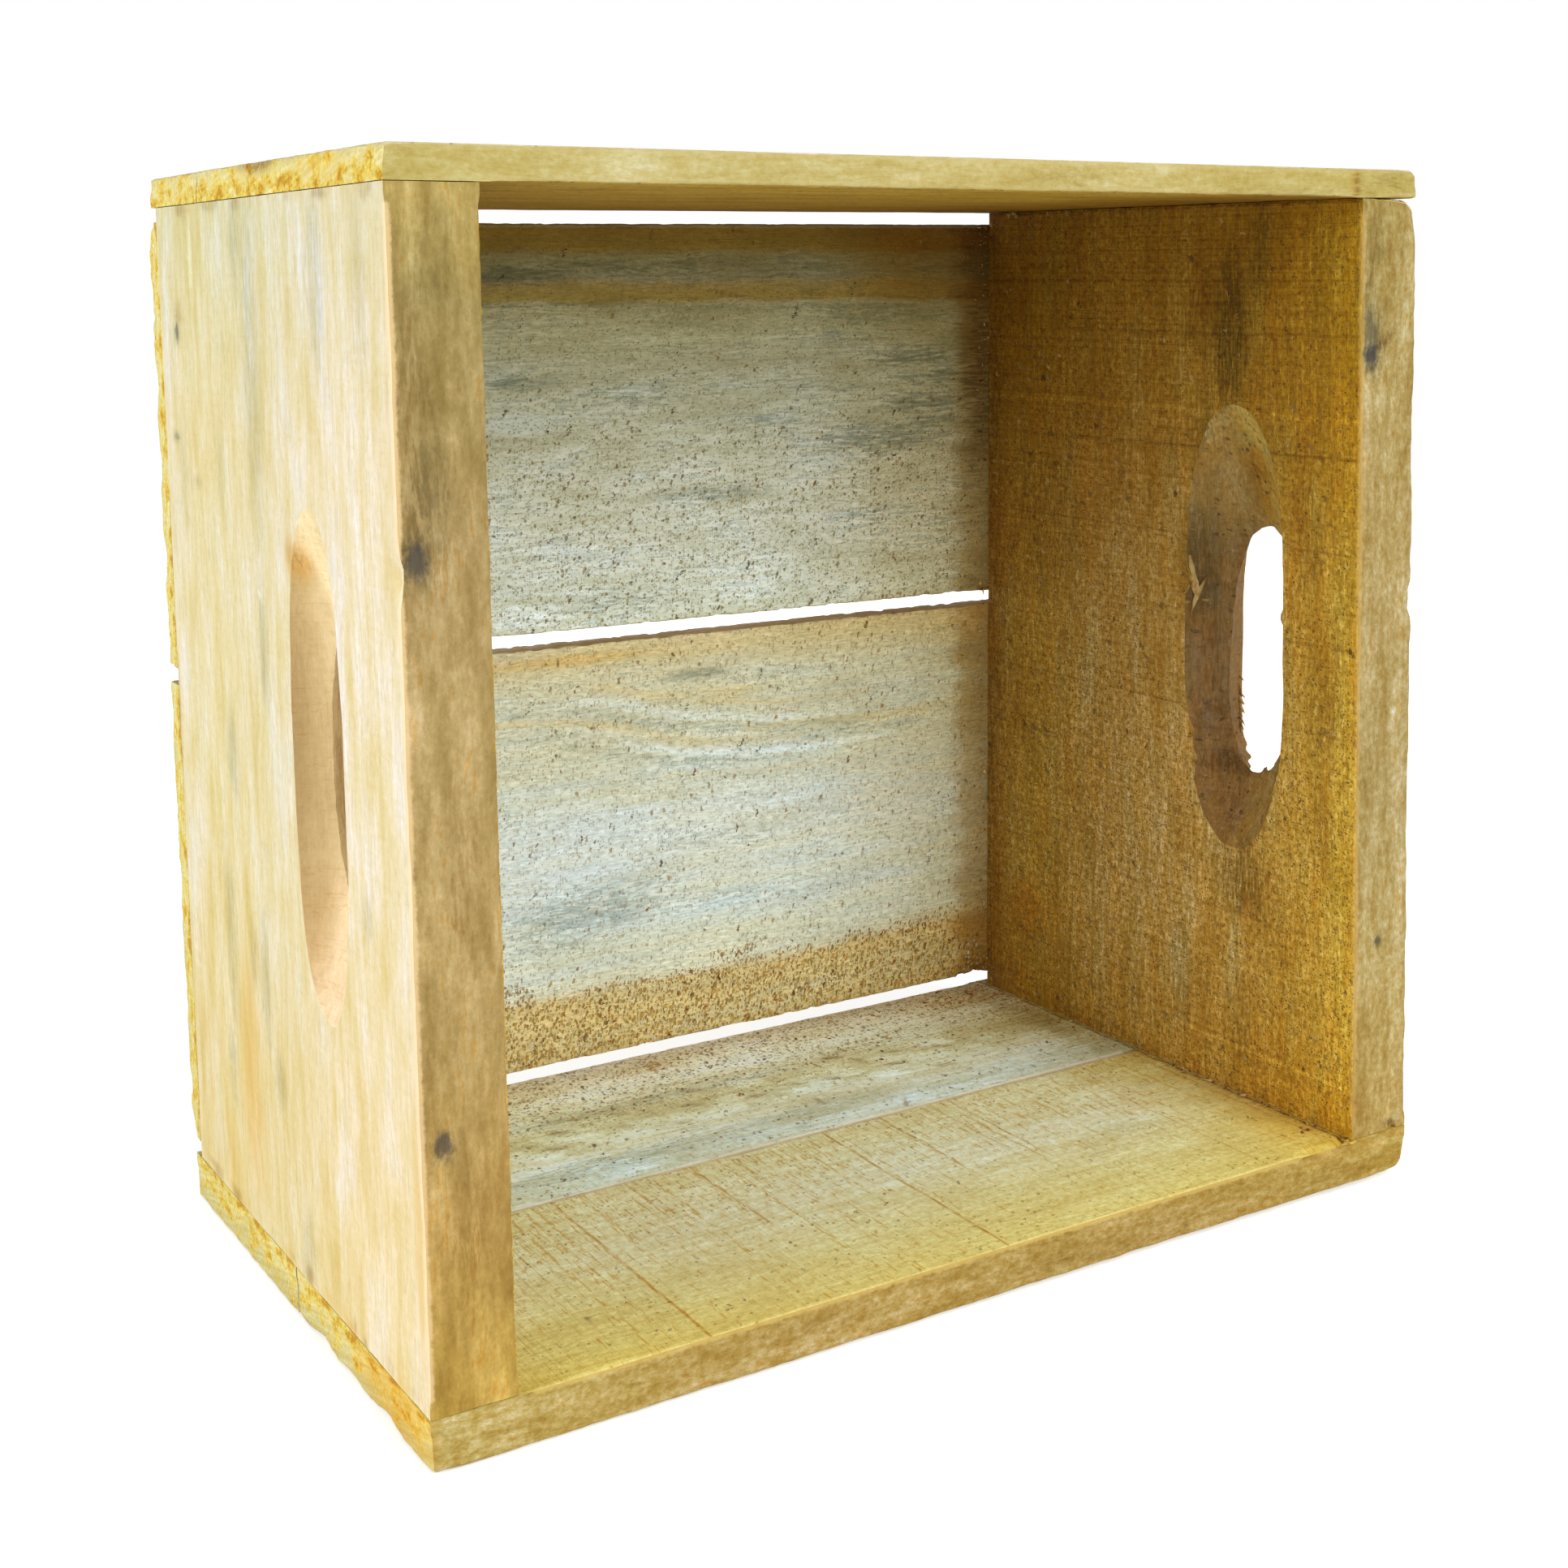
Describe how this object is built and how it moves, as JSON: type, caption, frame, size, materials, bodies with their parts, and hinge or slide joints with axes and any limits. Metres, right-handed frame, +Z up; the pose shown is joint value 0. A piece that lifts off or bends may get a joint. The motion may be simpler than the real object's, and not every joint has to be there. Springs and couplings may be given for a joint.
{
  "type": "wooden crate",
  "caption": "Small nailed crate of sawn boards lying on its long side, open at the front, with an arc-cut hand-hold in each end panel and air gaps between its base boards.",
  "frame": {"origin": "middle of the lowest face, on the surface that the crate lies on", "axes": "+X along the crate from the left end panel to the right one, +Y from the open face to the base boards, +Z up"},
  "size_m": [0.338, 0.2058, 0.3236],
  "materials": {
    "left_panel_wood": "bare sawn board, pale cream-yellow outside, tan on its front edge, worn",
    "right_panel_wood": "bare sawn board, golden brown, faint saw lines, paler front edge",
    "top_board_wood": "bare sawn thin board, light yellow-tan",
    "bottom_front_wood": "bare sawn board, yellow-tan with reddish saw marks across it",
    "bottom_back_wood": "bare board, weathered to grey-beige",
    "base_board_wood": "bare boards, weathered grey-beige with grey-blue streaks and sawdust specks",
    "nail_steel": "dull rusty wire nails"
  },
  "bodies": {
    "root": {"end_panel_left": "left_panel_wood", "end_panel_right": "right_panel_wood", "top_board_front": "top_board_wood", "top_board_back": "top_board_wood", "bottom_board_front": "bottom_front_wood", "bottom_board_back": "bottom_back_wood", "base_board_lower": "base_board_wood", "base_board_upper": "base_board_wood", "nail_top_board_front_left_1": "nail_steel", "nail_top_board_front_left_2": "nail_steel", "nail_top_board_front_left_3": "nail_steel", "nail_top_board_front_right_1": "nail_steel", "nail_top_board_front_right_2": "nail_steel", "nail_top_board_front_right_3": "nail_steel", "nail_top_board_back_left_1": "nail_steel", "nail_top_board_back_left_2": "nail_steel", "nail_top_board_back_right_1": "nail_steel", "nail_top_board_back_right_2": "nail_steel", "nail_bottom_board_front_left_1": "nail_steel", "nail_bottom_board_front_left_2": "nail_steel", "nail_bottom_board_front_right_1": "nail_steel", "nail_bottom_board_front_right_2": "nail_steel", "nail_bottom_board_back_left_1": "nail_steel", "nail_bottom_board_back_left_2": "nail_steel", "nail_bottom_board_back_right_1": "nail_steel", "nail_bottom_board_back_right_2": "nail_steel", "nail_base_board_lower_left_1": "nail_steel", "nail_base_board_lower_left_2": "nail_steel", "nail_base_board_lower_left_3": "nail_steel", "nail_base_board_lower_right_1": "nail_steel", "nail_base_board_lower_right_2": "nail_steel", "nail_base_board_lower_right_3": "nail_steel", "nail_base_board_upper_left_1": "nail_steel", "nail_base_board_upper_left_2": "nail_steel", "nail_base_board_upper_left_3": "nail_steel", "nail_base_board_upper_right_1": "nail_steel", "nail_base_board_upper_right_2": "nail_steel", "nail_base_board_upper_right_3": "nail_steel"}
  },
  "joints": []
}
